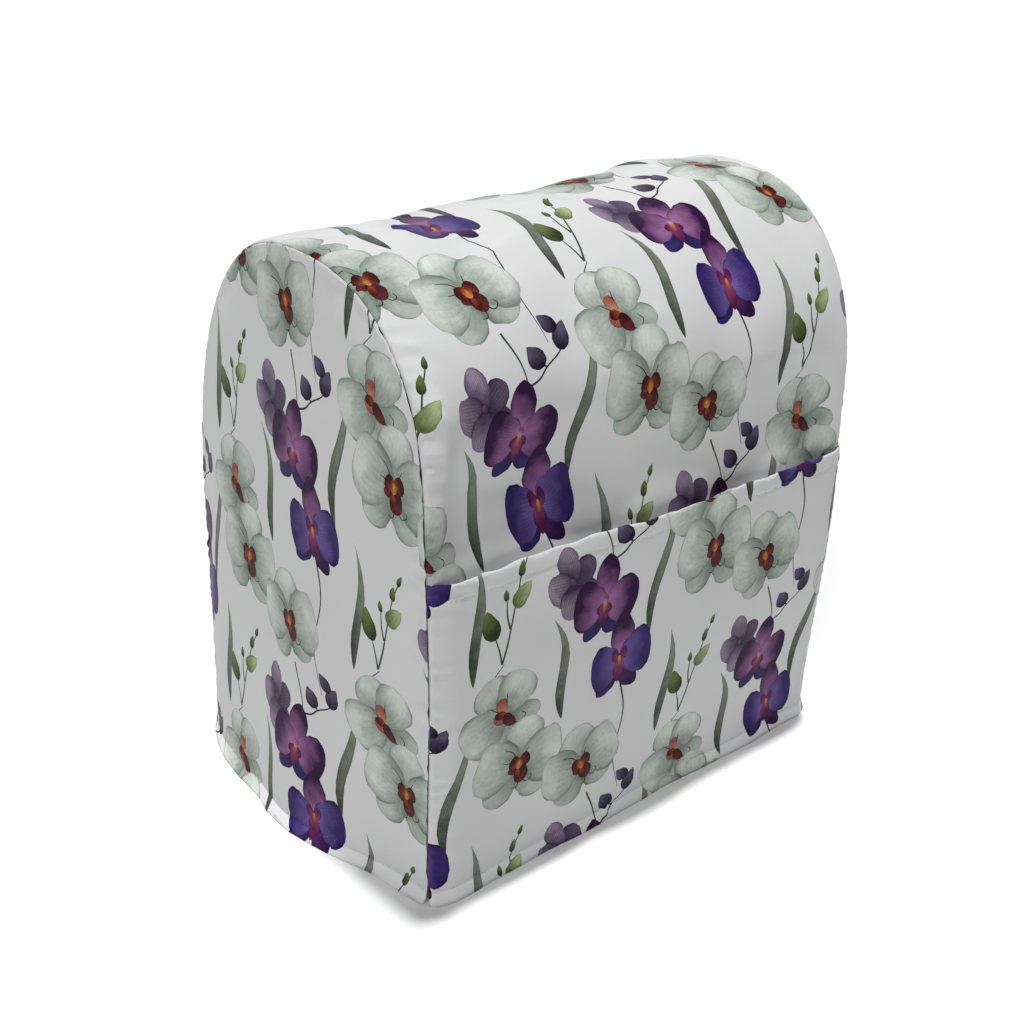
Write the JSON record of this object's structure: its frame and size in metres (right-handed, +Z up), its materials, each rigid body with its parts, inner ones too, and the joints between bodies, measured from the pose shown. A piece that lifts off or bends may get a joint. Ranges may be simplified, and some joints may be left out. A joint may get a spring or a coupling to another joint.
{
  "type": "fitted stand mixer cover",
  "caption": "Fitted cloth dust cover for a stand mixer: arch-shaped, hollow, open at the hem, with a full-width pocket over the lower front.",
  "frame": {"origin": "bottom centre of the cover's bounding box, on the surface that the hem stands on", "axes": "+Z up, -Y towards the pocket at the front, X along the width from one end panel to the other, with the picture's end panel at -X"},
  "size_m": [0.4452, 0.3312, 0.436],
  "materials": {
    "printed_cloth": "white satin-faced polyester with a botanical print in purple, sage green and rust"
  },
  "bodies": {
    "root": {"main_panel": "printed_cloth", "end_panel_left": "printed_cloth", "end_panel_right": "printed_cloth", "front_pocket": "printed_cloth"}
  },
  "joints": []
}
